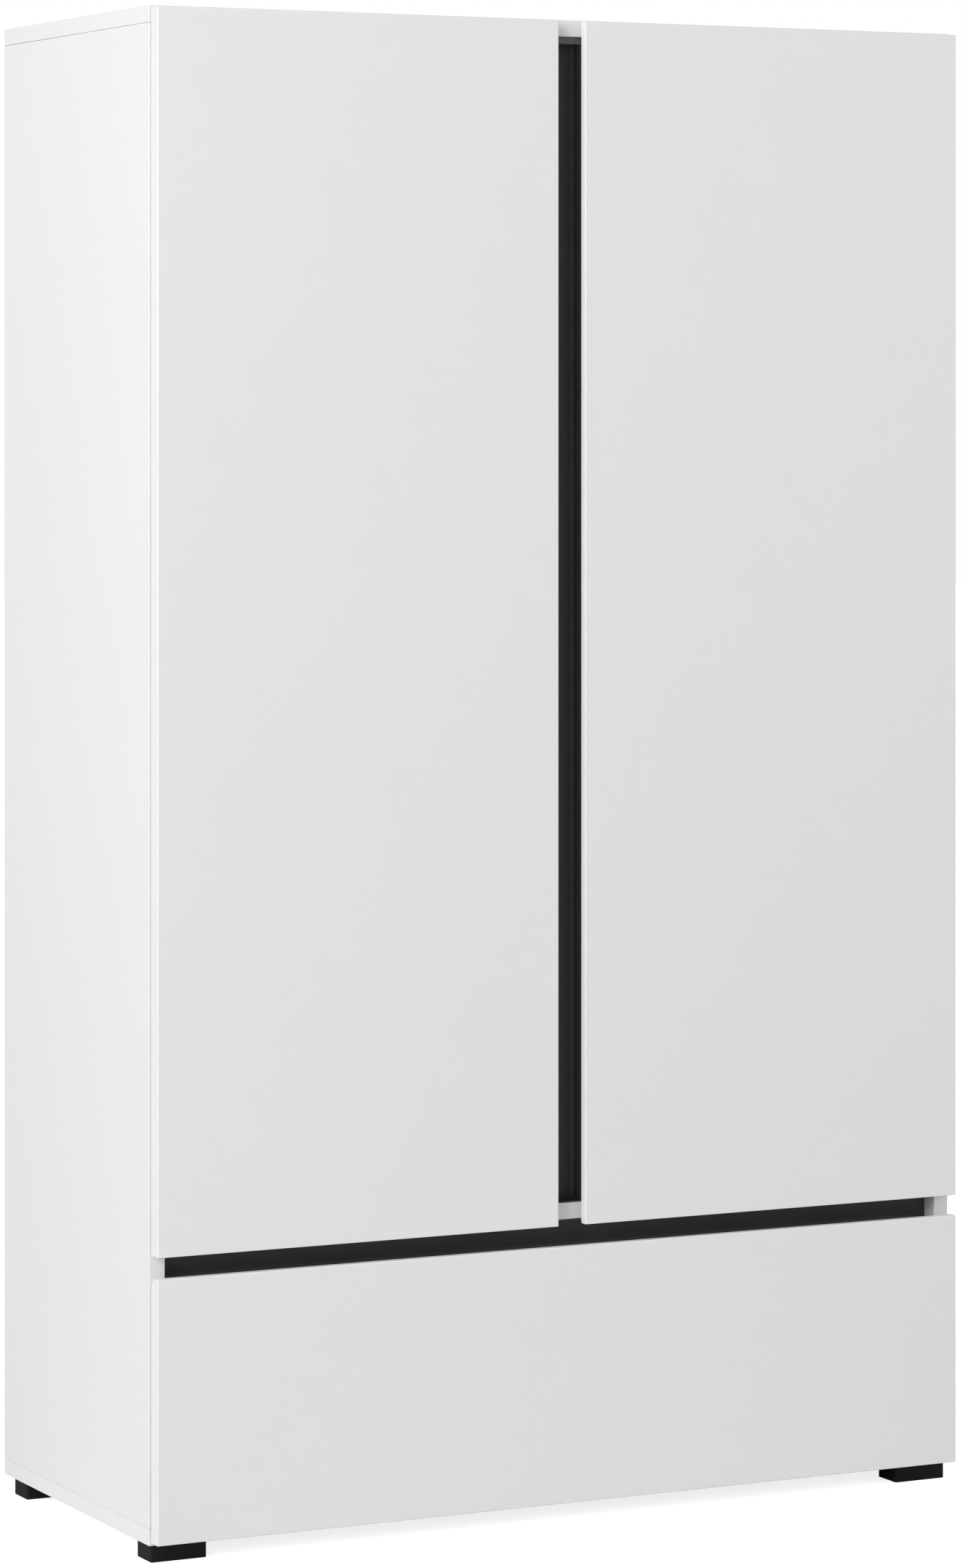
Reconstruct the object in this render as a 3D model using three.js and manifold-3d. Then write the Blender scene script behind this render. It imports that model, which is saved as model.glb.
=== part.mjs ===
// A two-door wardrobe with a full-width drawer below the doors. Millimetres, +X right, +Y back, +Z up.
// The origin is on the floor, under the middle of the outer box. Finger channels between the doors and
// above the drawer take the place of handles.
import * as THREE from "three";
import { mergeVertices } from "three/addons/utils/BufferGeometryUtils.js";
import Module from "manifold-3d";

const wasm = await Module();
wasm.setup();

// ---- Driving sizes ----
const WIDTH = 1200; // over the side panels
const DEPTH = 508; // side panels, front edge to rear edge
const HEIGHT = 1980; // bottom panel's underside to the top panel's upper face
const BOARD = 22; // panels, shelves, doors and drawer front
const SEAM = 0.3; // left between pieces that touch

const FRONT_GAP = 2.4; // carcass to the backs of the doors and the drawer front
const SIDE_REVEAL = 1.5; // doors and drawer front stop this far inside the carcass sides
const TOP_REVEAL = 2.5; // and the doors this far below its top
const BOTTOM_REVEAL = 4; // and the drawer front this far above its underside
const DRAWER_FRONT_HEIGHT = 341.5;
const DOOR_GRIP_GAP = 40; // between the doors
const DRAWER_GRIP_GAP = 27.5; // between the doors and the drawer front
const BEVEL_LIP = 12; // flat edge left in front of the bevel that the fingers hook behind
const EDGE_RELIEF = 1; // chamfer on the doors' hinge edges
const SHELF_OVER_DOOR_EDGE = 5; // divider shelf's underside above the doors' lower edge

const FOOT = { length: 78, width: 47, height: 22.5, radius: 3 };
const FOOT_SIDE_INSET = 4;
const FOOT_FRONT_INSET = 3;
const FOOT_BACK_INSET = 27;

const BACK_SHEET = 4;
const BACK_INSET = 10; // back sheet's rear face to the carcass's rear edges
const GROOVE_DEPTH = 8;
const GROOVE_PLAY = 0.3; // on each face of a sheet in its groove
const GROOVE_END_PLAY = 1; // between a sheet's edge and the bottom of its groove
const STRIP = { wall: 1, web: 1.4, width: 20 }; // H strip that joins the two back sheets

const CHANNEL = { wall: 1.5, depth: 26.5, radius: 6 }; // radius inside its two rear corners
const CHANNEL_SHY = 0.5; // channel's edges stop short of the end of the bevels
const CAP = { height: 9, setback: 5 }; // block that closes the upright channel's upper end

const LEFT_SHELVES = 4;
const SHELF_SETBACK = 34; // from the carcass's front edges
const SHELF_PLAY = 1; // on each side of a loose shelf and behind it
const HAT_SPACE = 230; // clear height above the hat shelf
const RAIL = { height: 30, width: 15, wall: 1.5, drop: 62 }; // drop from the hat shelf to its middle
const FLANGE = { rim: 4, depth: 12, play: 0.4 };
const BRACKET = { leg: 32, length: 40, wall: 2, fromSide: 120 };

const DRAWER_BOARD = 16;
const DRAWER_DEPTH = 450;
const DRAWER_SIDE_HEIGHT = 240;
const DRAWER_LIFT = 13.5; // drawer sides above the bottom panel
const DRAWER_SHEET = 6;
const SHEET_LIFT = 12; // bottom sheet's groove above the sides' lower edges
const SHEET_GROOVE = 5;
const RAIL_UNDER_SHEET = { width: 40, height: 9 };

// Lift is from the drawer sides' lower edges to the runners' middle. Each member has half its height,
// and its reach from the side panel.
const RUNNER = { space: 12.7, length: 450, lift: 72, inset: 2, wall: 1.4 };
const CABINET_MEMBER = { half: 22.5, from: 0.3, to: 9.5 };
const MIDDLE_MEMBER = { half: 19.5, from: 2.6, to: 8.6 };
const DRAWER_MEMBER = { half: 16, from: 5.4, to: 12.4 };

// Concealed hinges. Places in plan are measured from the door's pivot, towards the door's free edge
// and then back.
const PIVOT = { fromEdge: 8, fromBack: 13 };
const HINGES = { count: 3, fromEnd: 100 };
const BORE = { radius: 17.5, depth: 12.5, fromEdge: 5 };
const CUP = { play: 0.3, wall: 1, flange: 18.8, flangeThickness: 1, earLength: 56, earWidth: 12 };
const CUP_NOTCH = { depth: 0.8, play: 0.5 }; // below the door's back, and beside the link
const LINK = { pin: [24, 8.6], bends: [[15.7, 6.5], [10.2, 3.1]], tip: [2.2, 5.7] };
const LINK_SECTION = { half: 0.8, width: 10, eye: 2.2, hole: 1.2 };
const ARM = { pinRadius: 0.9, cheek: 2.5, thickness: 10, from: 1, to: 64 }; // behind the carcass front
const NOSE = { margin: 0.5, to: 8, slotMargin: 4 }; // the arm's front end, which holds the link's pin
const PLATE = { thickness: 3, from: 22, to: 60, wingHalf: 26, wingFrom: 30, wingTo: 44, overlap: 1 };

const ROUND_STEPS = 24; // sides of a round bore, cup or eye
const ARC_STEPS = 5; // steps of a rounded corner
const CUT_PAST = 1; // how far a cutting shape reaches past the face it enters by

// ---- Planes that follow from them ----
const outerSide = WIDTH / 2;
const innerSide = outerSide - BOARD;
const rear = (DEPTH + FRONT_GAP + BOARD) / 2;
const front = rear - DEPTH;
const facadeBack = front - FRONT_GAP;
const face = facadeBack - BOARD;

const underside = FOOT.height;
const top = underside + HEIGHT;
const floor = underside + BOARD;
const ceiling = top - BOARD;
const sheetRear = rear - BACK_INSET;
const sheetFront = sheetRear - BACK_SHEET;
const boardRear = sheetFront - STRIP.wall - 2 * SEAM; // where the shelves and the partition stop

const facadeSide = outerSide - SIDE_REVEAL;
const drawerFrontFoot = underside + BOTTOM_REVEAL;
const drawerFrontTop = drawerFrontFoot + DRAWER_FRONT_HEIGHT;
const doorFoot = drawerFrontTop + DRAWER_GRIP_GAP;
const doorTop = top - TOP_REVEAL;
const bevel = BOARD - BEVEL_LIP; // cut at 45 degrees, so it is as deep as it is wide
const dividerFoot = doorFoot + SHELF_OVER_DOOR_EDGE;
const dividerTop = dividerFoot + BOARD;

const channelRear = front + CHANNEL.depth;
const channelHalf = DOOR_GRIP_GAP / 2 + bevel - CHANNEL_SHY;
const partitionSide = BOARD / 2;

const drawerFoot = floor + DRAWER_LIFT;
const drawerTop = drawerFoot + DRAWER_SIDE_HEIGHT;
const drawerOuter = innerSide - RUNNER.space;
const drawerInner = drawerOuter - DRAWER_BOARD;
const drawerFrontEnd = facadeBack + SEAM;
const drawerRear = drawerFrontEnd + DRAWER_DEPTH;
const drawerSheetFoot = drawerFoot + SHEET_LIFT;

// ---- Shapes ----
const X = new THREE.Vector3(1, 0, 0);
const Y = new THREE.Vector3(0, 1, 0);
const Z = new THREE.Vector3(0, 0, 1);
// An outline drawn on the two axes that follow the extruded one: Y and Z, Z and X, or X and Y.
const ALONG = {
  x: new THREE.Matrix4().makeBasis(Y, Z, X),
  y: new THREE.Matrix4().makeBasis(Z, X, Y),
  z: new THREE.Matrix4(),
};

function block(xs, ys, zs) {
  const spans = [xs, ys, zs].map(([a, b]) => [Math.min(a, b), Math.max(a, b)]);
  const size = spans.map(([a, b]) => b - a);
  const middle = spans.map(([a, b]) => (a + b) / 2);
  return new THREE.BoxGeometry(...size).translate(...middle);
}

function prism(outline, axis, [from, to]) {
  const shape = Array.isArray(outline)
    ? new THREE.Shape(outline.map(([a, b]) => new THREE.Vector2(a, b)))
    : outline;
  const options = { depth: to - from, bevelEnabled: false, curveSegments: ARC_STEPS };
  return new THREE.ExtrudeGeometry(shape, options).translate(0, 0, from).applyMatrix4(ALONG[axis]);
}

function roundBar(radius, axis, [a, b], span) {
  const circle = new THREE.Shape().absarc(a, b, radius, 0, 2 * Math.PI);
  const outline = circle.getPoints(ROUND_STEPS / 2).map(({ x, y }) => [x, y]).slice(0, -1);
  return prism(outline, axis, span);
}

// A strip along either axis, with half-round ends.
function oval(width, height, [x, y]) {
  const radius = Math.min(width, height) / 2;
  const [w, h] = [width / 2 - radius, height / 2 - radius];
  const start = w > 0 ? -Math.PI / 2 : 0;
  return new THREE.Shape()
    .absarc(x + w, y + h, radius, start, start + Math.PI)
    .absarc(x - w, y - h, radius, start + Math.PI, start + 2 * Math.PI);
}

// A rectangle with round corners about a centre.
function roundedRectangle(width, height, radius, [x, y]) {
  const [w, h] = [width / 2 - radius, height / 2 - radius];
  return new THREE.Shape()
    .absarc(x + w, y + h, radius, 0, Math.PI / 2)
    .absarc(x - w, y + h, radius, Math.PI / 2, Math.PI)
    .absarc(x - w, y - h, radius, Math.PI, 1.5 * Math.PI)
    .absarc(x + w, y - h, radius, 1.5 * Math.PI, 2 * Math.PI);
}

function toSolid(geometry) {
  const bare = geometry.clone();
  bare.deleteAttribute("normal");
  bare.deleteAttribute("uv");
  const merged = mergeVertices(bare, 1e-3);
  return new wasm.Manifold(
    new wasm.Mesh({
      numProp: 3,
      vertProperties: merged.attributes.position.array,
      triVerts: new Uint32Array(merged.index.array),
    }),
  );
}

function toGeometry(solid) {
  const { vertProperties, triVerts } = solid.getMesh();
  const geometry = new THREE.BufferGeometry();
  geometry.setAttribute("position", new THREE.BufferAttribute(new Float32Array(vertProperties), 3));
  geometry.setIndex(new THREE.BufferAttribute(new Uint32Array(triVerts), 1));
  return geometry;
}

const cut = (base, ...tools) =>
  toGeometry(tools.reduce((solid, tool) => solid.subtract(toSolid(tool)), toSolid(base)));
const join = (base, ...others) =>
  toGeometry(others.reduce((solid, other) => solid.add(toSolid(other)), toSolid(base)));

// ---- Finishes ----
const finish = (color, roughness, metalness = 0) =>
  new THREE.MeshStandardMaterial({ color, roughness, metalness });
const whiteBoard = finish(0xe9e9e9, 0.55);
const whiteSheet = finish(0xf0f0ee, 0.6);
const blackMetal = finish(0x1b1b1b, 0.5, 0.3);
const greyPlastic = finish(0x4c4c4c, 0.6);
const blackPlastic = finish(0x181818, 0.55);
const steel = finish(0xb8bbbf, 0.35, 1);

const wardrobe = new THREE.Group();
function add(name, geometry, material) {
  const mesh = new THREE.Mesh(geometry, material);
  mesh.name = name;
  wardrobe.add(mesh);
}

const SIDES = [["left", -1], ["right", 1]];

// ---- Carcass ----
const grooveSpan = [sheetFront - GROOVE_PLAY, sheetRear + GROOVE_PLAY];
const grooveSide = innerSide + GROOVE_DEPTH;

function carcass() {
  for (const [name, side] of SIDES) {
    const height = [floor + SEAM, ceiling - SEAM];
    const panel = block([side * innerSide, side * outerSide], [front, rear], height);
    const groove = block([side * (innerSide - CUT_PAST), side * grooveSide], grooveSpan, [floor, ceiling]);
    add(`side_panel_${name}`, cut(panel, groove), whiteBoard);
  }
  // The grooves in the top and bottom panels stop short of their ends.
  const across = [-grooveSide, grooveSide];
  const topPanel = block([-outerSide, outerSide], [front, rear], [ceiling, top]);
  const topGroove = block(across, grooveSpan, [ceiling - CUT_PAST, ceiling + GROOVE_DEPTH]);
  add("top_panel", cut(topPanel, topGroove), whiteBoard);
  const bottomPanel = block([-outerSide, outerSide], [front, rear], [underside, floor]);
  const bottomGroove = block(across, grooveSpan, [floor - GROOVE_DEPTH, floor + CUT_PAST]);
  add("bottom_panel", cut(bottomPanel, bottomGroove), whiteBoard);

  const dividerWidth = [-innerSide + SEAM, innerSide - SEAM];
  const divider = block(dividerWidth, [front, boardRear], [dividerFoot, dividerTop]);
  add("divider_shelf", divider, whiteBoard);
  const partitionWidth = [-partitionSide, partitionSide];
  const partitionHeight = [dividerTop + SEAM, ceiling - SEAM];
  const partition = block(partitionWidth, [channelRear + SEAM, boardRear], partitionHeight);
  add("centre_partition", partition, whiteBoard);
}

function backSheets() {
  const reach = GROOVE_DEPTH - GROOVE_END_PLAY;
  const seam = STRIP.web / 2 + SEAM;
  const height = [floor - reach, ceiling + reach];
  for (const [name, side] of SIDES) {
    const width = [side * seam, side * (innerSide + reach)];
    add(`back_sheet_${name}`, block(width, [sheetFront, sheetRear], height), whiteSheet);
  }
  const flange = STRIP.width / 2;
  const web = STRIP.web / 2;
  const [inFront, behind] = [sheetFront - SEAM, sheetRear + SEAM];
  const outline = [
    [-flange, inFront - STRIP.wall], [flange, inFront - STRIP.wall], [flange, inFront], [web, inFront],
    [web, behind], [flange, behind], [flange, behind + STRIP.wall], [-flange, behind + STRIP.wall],
    [-flange, behind], [-web, behind], [-web, inFront], [-flange, inFront],
  ];
  add("back_joint_strip", prism(outline, "z", [floor + SEAM, ceiling - SEAM]), whiteSheet);
}

function feet() {
  const x = outerSide - FOOT_SIDE_INSET - FOOT.length / 2;
  const rows = [
    ["front", front + FOOT_FRONT_INSET + FOOT.width / 2],
    ["rear", rear - FOOT_BACK_INSET - FOOT.width / 2],
  ];
  for (const [row, y] of rows) {
    for (const [name, side] of SIDES) {
      const outline = roundedRectangle(FOOT.length, FOOT.width, FOOT.radius, [side * x, y]);
      add(`foot_${row}_${name}`, prism(outline, "z", [0, underside - SEAM]), blackPlastic);
    }
  }
}

// ---- Finger channels ----
// A trough open to the front. Its outline's first axis runs across it and its second runs back.
function troughOutline(low, high) {
  const { wall, depth, radius } = CHANNEL;
  const outer = radius + wall;
  const back = front + depth;
  return new THREE.Shape()
    .moveTo(low, front)
    .absarc(low + outer, back - outer, outer, Math.PI, Math.PI / 2, true)
    .absarc(high - outer, back - outer, outer, Math.PI / 2, 0, true)
    .lineTo(high, front)
    .lineTo(high - wall, front)
    .absarc(high - outer, back - outer, radius, 0, Math.PI / 2)
    .absarc(low + outer, back - outer, radius, Math.PI / 2, Math.PI)
    .lineTo(low + wall, front);
}

function channels() {
  const capFoot = ceiling - SEAM - CAP.height;
  const uprightHeight = [dividerTop + SEAM, capFoot - SEAM];
  const upright = prism(troughOutline(-channelHalf, channelHalf), "z", uprightHeight);
  add("vertical_handle_channel", upright, blackMetal);
  const capSpan = [front + CAP.setback, channelRear];
  add("channel_top_cap", block([-channelHalf, channelHalf], capSpan, [capFoot, ceiling - SEAM]), greyPlastic);

  // The same trough lying across the carcass: its outline's points are turned to depth and height.
  const lying = troughOutline(drawerFrontTop - bevel - CHANNEL_SHY, dividerFoot - SEAM);
  const outline = lying.getPoints(ARC_STEPS).map(({ x, y }) => [y, x]);
  const reach = innerSide - SEAM;
  add("horizontal_handle_channel", prism(outline, "x", [-reach, reach]), blackMetal);
}

// ---- Inside the two compartments ----
function leftShelves() {
  const width = [-innerSide + SHELF_PLAY, -partitionSide - SHELF_PLAY];
  const depth = [front + SHELF_SETBACK, boardRear - SHELF_PLAY];
  const space = (ceiling - dividerTop - LEFT_SHELVES * BOARD) / (LEFT_SHELVES + 1);
  for (let i = 1; i <= LEFT_SHELVES; i++) {
    const foot = dividerTop + i * space + (i - 1) * BOARD;
    add(`shelf_left_${i}`, block(width, depth, [foot, foot + BOARD]), whiteBoard);
  }
}

function hangingSpace() {
  const width = [partitionSide + SEAM, innerSide - SEAM];
  const shelfFoot = ceiling - HAT_SPACE - BOARD;
  const depth = [front + SHELF_SETBACK, boardRear - SHELF_PLAY];
  add("hat_shelf", block(width, depth, [shelfFoot, shelfFoot + BOARD]), whiteBoard);

  const middle = [(front + boardRear) / 2, shelfFoot - RAIL.drop];
  const tube = oval(RAIL.width, RAIL.height, middle);
  tube.holes.push(oval(RAIL.width - 2 * RAIL.wall, RAIL.height - 2 * RAIL.wall, middle));
  add("hanging_rail", prism(tube, "x", width), steel);

  const socket = RAIL.width + 2 * FLANGE.play;
  const outer = socket + 2 * FLANGE.rim;
  const tall = RAIL.height - RAIL.width;
  for (const [name, span] of [
    ["left", [width[0], width[0] + FLANGE.depth]],
    ["right", [width[1] - FLANGE.depth, width[1]]],
  ]) {
    const ring = oval(outer, outer + tall, middle);
    ring.holes.push(oval(socket, socket + tall, middle));
    add(`rail_flange_${name}`, prism(ring, "x", span), steel);
  }
}

// Angles screwed under the top panel, with a leg against the back sheet for a screw into the wall.
function wallBrackets() {
  const back = sheetFront - SEAM;
  const up = ceiling - SEAM;
  const { leg, wall, length } = BRACKET;
  const outline = [
    [back, up], [back - leg, up], [back - leg, up - wall],
    [back - wall, up - wall], [back - wall, up - leg], [back, up - leg],
  ];
  for (const [name, side] of SIDES) {
    const x = side * (innerSide - BRACKET.fromSide);
    add(`wall_bracket_${name}`, prism(outline, "x", [x - length / 2, x + length / 2]), steel);
  }
}

// ---- Doors and their hinges ----
const pivotX = facadeSide - PIVOT.fromEdge;
const pivotY = facadeBack - PIVOT.fromBack;
const boreMiddle = facadeSide - BORE.fromEdge - BORE.radius;
const hingeSpace = (doorTop - doorFoot - 2 * HINGES.fromEnd) / (HINGES.count - 1);
const hingeHeights = Array.from(
  { length: HINGES.count },
  (_, i) => doorFoot + HINGES.fromEnd + i * hingeSpace,
);

// From places measured at a pivot to places in plan.
const fromPivot = (side, [inward, back]) => [side * (pivotX - inward), pivotY + back];

function door(name, side) {
  const grip = DOOR_GRIP_GAP / 2;
  const outline = [
    [grip, face], [grip, face + BEVEL_LIP], [grip + bevel, facadeBack],
    [facadeSide - EDGE_RELIEF, facadeBack], [facadeSide, facadeBack - EDGE_RELIEF],
    [facadeSide, face + EDGE_RELIEF], [facadeSide - EDGE_RELIEF, face],
  ].map(([x, y]) => [side * x, y]);
  const depth = [facadeBack - BORE.depth, facadeBack + CUT_PAST];
  const bores = hingeHeights.map((z) => roundBar(BORE.radius, "y", [z, side * boreMiddle], depth));
  add(`door_${name}`, cut(prism(outline, "z", [doorFoot, doorTop]), ...bores), whiteBoard);
}

// The cup sits in the door's bore, and its flange and ears lie on the door's back. The link folds
// through a notch in its rim when the door stands open.
function hingeCup(name, side, z) {
  const middle = [z, side * boreMiddle];
  const seat = facadeBack + SEAM;
  const rim = seat + CUP.flangeThickness;
  const outer = BORE.radius - CUP.play;
  const foot = facadeBack - BORE.depth + CUP.play;
  const ears = prism(oval(CUP.earLength, CUP.earWidth, middle), "y", [seat, rim]);
  const shell = join(
    roundBar(outer, "y", middle, [foot, rim]),
    roundBar(CUP.flange, "y", middle, [seat, rim]),
    ears,
  );
  const hollow = roundBar(outer - CUP.wall, "y", middle, [foot + CUP.wall, rim + CUT_PAST]);
  const notchWidth = [side * (boreMiddle + BORE.radius / 2), side * (boreMiddle + CUP.flange + CUT_PAST)];
  const notchHalf = LINK_SECTION.width / 2 + CUP_NOTCH.play;
  const notchDepth = [facadeBack - CUP_NOTCH.depth, rim + CUT_PAST];
  const notch = block(notchWidth, notchDepth, [z - notchHalf, z + notchHalf]);
  add(name, cut(shell, hollow, notch), steel);
}

// A strip with round ends between two points in plan.
function strap(from, to, radius, zs) {
  const [a, b] = [new THREE.Vector2(...from), new THREE.Vector2(...to)];
  const along = b.clone().sub(a).angle();
  const outline = new THREE.Shape()
    .absarc(a.x, a.y, radius, along + Math.PI / 2, along + 1.5 * Math.PI)
    .absarc(b.x, b.y, radius, along - Math.PI / 2, along + Math.PI / 2);
  return prism(outline, "z", zs);
}

function hingeLink(name, side, z) {
  const { half, width, eye, hole } = LINK_SECTION;
  const places = [LINK.pin, ...LINK.bends, LINK.tip].map((place) => fromPivot(side, place));
  const height = [z - width / 2, z + width / 2];
  const straps = places.slice(1).map((place, i) => strap(places[i], place, half, height));
  const body = join(roundBar(eye, "z", places[0], height), ...straps);
  const eyelet = roundBar(hole, "z", places[0], [height[0] - CUT_PAST, height[1] + CUT_PAST]);
  add(name, cut(body, eyelet), steel);
}

// The arm runs back from the link's pin to a plate on the side panel.
function hingeArm(name, side, z) {
  const plan = (inward, back) => fromPivot(side, [inward, back]);
  const piece = ([inner, outer], [from, to], half) => {
    const [x0, y0] = plan(inner, from);
    const [x1, y1] = plan(outer, to);
    return block([x0, x1], [y0, y1], [z - half, z + half]);
  };
  const carcassFront = PIVOT.fromBack + FRONT_GAP;
  const behindFront = (from, to) => [carcassFront + from, carcassFront + to];
  const panel = pivotX - innerSide + SEAM;
  const plateFace = panel + PLATE.thickness;
  const slotHalf = LINK_SECTION.width / 2 + SEAM;
  const armHalf = slotHalf + ARM.cheek;
  const [pinIn, pinBack] = LINK.pin;
  const { eye } = LINK_SECTION;
  const barFrom = plateFace - PLATE.overlap;
  const bar = piece([barFrom, barFrom + ARM.thickness], behindFront(ARM.from, ARM.to), armHalf);
  const noseHalf = eye + NOSE.margin;
  const noseWidth = [pinIn - noseHalf, pinIn + noseHalf];
  const nose = piece(noseWidth, [pinBack - eye, carcassFront + NOSE.to], armHalf);
  const slotFrom = pinBack - eye - CUT_PAST;
  const slot = piece([panel, pinIn + ARM.thickness], [slotFrom, pinBack + eye + NOSE.slotMargin], slotHalf);
  const plate = piece([panel, plateFace], behindFront(PLATE.from, PLATE.to), armHalf);
  const wings = piece([panel, plateFace], behindFront(PLATE.wingFrom, PLATE.wingTo), PLATE.wingHalf);
  const pin = roundBar(ARM.pinRadius, "z", plan(...LINK.pin), [z - armHalf, z + armHalf]);
  add(name, join(cut(join(bar, nose), slot), plate, wings, pin), steel);
}

function doors() {
  for (const [name, side] of SIDES) {
    door(name, side);
    hingeHeights.forEach((z, i) => {
      hingeCup(`hinge_cup_${name}_${i + 1}`, side, z);
      hingeLink(`hinge_link_${name}_${i + 1}`, side, z);
      hingeArm(`hinge_arm_${name}_${i + 1}`, side, z);
    });
  }
}

// ---- Drawer ----
function drawerBox() {
  const outline = [
    [face, drawerFrontFoot], [facadeBack, drawerFrontFoot], [facadeBack, drawerFrontTop - bevel],
    [face + BEVEL_LIP, drawerFrontTop], [face, drawerFrontTop],
  ];
  const grooveHeight = [drawerSheetFoot - GROOVE_PLAY, drawerSheetFoot + DRAWER_SHEET + GROOVE_PLAY];
  const grooveReach = drawerInner + SHEET_GROOVE;
  const slab = prism(outline, "x", [-facadeSide, facadeSide]);
  const frontGrooveDepth = [facadeBack - SHEET_GROOVE, facadeBack + CUT_PAST];
  const frontGroove = block([-grooveReach, grooveReach], frontGrooveDepth, grooveHeight);
  add("drawer_front", cut(slab, frontGroove), whiteBoard);

  const depth = [drawerFrontEnd, drawerRear];
  const grooveDepth = [drawerFrontEnd - CUT_PAST, drawerRear + CUT_PAST];
  for (const [name, side] of SIDES) {
    const board = block([side * drawerInner, side * drawerOuter], depth, [drawerFoot, drawerTop]);
    const grooveWidth = [side * (drawerInner - CUT_PAST), side * grooveReach];
    add(`drawer_side_${name}`, cut(board, block(grooveWidth, grooveDepth, grooveHeight)), whiteBoard);
  }

  const inner = drawerInner - SEAM;
  const sheetTop = drawerSheetFoot + DRAWER_SHEET;
  const backDepth = [drawerRear - DRAWER_BOARD, drawerRear];
  add("drawer_back", block([-inner, inner], backDepth, [sheetTop + SEAM, drawerTop]), whiteBoard);
  const sheetHalf = grooveReach - GROOVE_END_PLAY;
  const sheetDepth = [facadeBack - SHEET_GROOVE + GROOVE_END_PLAY, drawerRear];
  add("drawer_bottom", block([-sheetHalf, sheetHalf], sheetDepth, [drawerSheetFoot, sheetTop]), whiteSheet);
  const railHalf = RAIL_UNDER_SHEET.width / 2;
  const railTop = drawerSheetFoot - SEAM;
  const railHeight = [railTop - RAIL_UNDER_SHEET.height, railTop];
  add("drawer_bottom_rail", block([-railHalf, railHalf], depth, railHeight), whiteBoard);
}

// A runner's member is a trough that lies along the drawer. Its web is nearer to the side panel,
// or on the drawer's own member nearer to the drawer.
function runnerMember(side, member, webOutside) {
  const { half } = member;
  const [web, lips] = webOutside ? [member.from, member.to] : [member.to, member.from];
  const webInner = web + Math.sign(lips - web) * RUNNER.wall;
  const middle = drawerFoot + RUNNER.lift;
  const flat = half - RUNNER.wall;
  const section = [[web, -half], [lips, -half], [lips, -flat], [webInner, -flat],
    [webInner, flat], [lips, flat], [lips, half], [web, half]];
  const outline = section.map(([reach, z]) => [middle + z, side * (innerSide - reach)]);
  const start = front + RUNNER.inset;
  return prism(outline, "y", [start, start + RUNNER.length]);
}

function runners() {
  for (const [name, side] of SIDES) {
    add(`runner_cabinet_member_${name}`, runnerMember(side, CABINET_MEMBER, true), steel);
    add(`runner_middle_member_${name}`, runnerMember(side, MIDDLE_MEMBER, true), steel);
    add(`runner_drawer_member_${name}`, runnerMember(side, DRAWER_MEMBER, false), steel);
  }
}

carcass();
backSheets();
feet();
channels();
leftShelves();
hangingSpace();
wallBrackets();
doors();
drawerBox();
runners();

export default wardrobe;
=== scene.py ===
import math
from contextlib import contextmanager

import bmesh
import bpy
from mathutils import Matrix, Vector


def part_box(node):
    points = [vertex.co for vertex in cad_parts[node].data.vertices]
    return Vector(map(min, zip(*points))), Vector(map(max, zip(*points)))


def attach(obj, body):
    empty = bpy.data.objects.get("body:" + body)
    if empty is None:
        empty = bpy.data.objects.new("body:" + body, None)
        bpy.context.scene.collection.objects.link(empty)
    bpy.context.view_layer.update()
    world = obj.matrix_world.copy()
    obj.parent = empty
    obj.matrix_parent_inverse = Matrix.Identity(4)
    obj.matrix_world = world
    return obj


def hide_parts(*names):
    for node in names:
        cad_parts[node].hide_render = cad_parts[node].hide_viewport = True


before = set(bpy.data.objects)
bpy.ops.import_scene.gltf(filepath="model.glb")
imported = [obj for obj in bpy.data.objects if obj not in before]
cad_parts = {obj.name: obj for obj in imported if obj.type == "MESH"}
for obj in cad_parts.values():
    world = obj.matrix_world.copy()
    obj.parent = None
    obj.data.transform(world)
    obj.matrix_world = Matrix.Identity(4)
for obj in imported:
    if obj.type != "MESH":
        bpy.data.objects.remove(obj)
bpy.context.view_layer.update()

MM = 0.001
LEFT, RIGHT = Vector((-1, 0, 0)), Vector((1, 0, 0))
FORWARD, BACK = Vector((0, -1, 0)), Vector((0, 1, 0))
DOWN, UP = Vector((0, 0, -1)), Vector((0, 0, 1))
SIDES = {"left": -1, "right": 1}
HINGE_ROWS = range(1, 1 + sum(node.startswith("hinge_cup_left_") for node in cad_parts))
SHELF_ROWS = range(1, 1 + sum(node.startswith("shelf_left_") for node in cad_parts))

# ---- Sizes that the frame's boxes don't give ----
BAND = 1.8 * MM  # thickness of the edge bands
FRONT_ROUND = 1.2 * MM  # rounding of the doors' and the drawer front's edges
BOARD_ROUND = 0.7 * MM  # rounding of the other banded edges
GRIP_BEVEL = 10 * MM  # how deep the slanted edges are that the fingers hook behind
SHEET_PLAY = 0.3 * MM  # round a back or bottom sheet in its groove
BACK_GROOVE, DRAWER_GROOVE = 8 * MM, 5 * MM  # depths of those grooves
PIN_HOLE = {"radius": 2.5 * MM, "depth": 11 * MM, "step": 32 * MM, "from_edge": 37 * MM, "sides": 12}
CAM_COVER, CAM_FROM_END = 8.5 * MM, 34 * MM  # radius of the cams' caps, and their way from a board's end
CUP = {  # of the hinges; heights are counted from the door's back
    "bore": 17.5 * MM, "bore_depth": 12.5 * MM, "outer": 17.2 * MM, "depth": 12.2 * MM, "flange": 18.8 * MM,
    "seat": 0.3 * MM, "rim": 1.3 * MM, "ear_half": 6 * MM, "ear_reach": 28 * MM,
    "screw_from_middle": 22.5 * MM, "wall": MM, "sides": 64,
}
CUP_NOTCH = ((9 * MM, -5.5 * MM, -0.8 * MM), (20 * MM, 5.5 * MM, 3 * MM))  # for the folded link
PLATE_SCREWS = {"in": 3 * MM, "behind_front": 37 * MM, "from_middle": 20 * MM}
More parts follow.
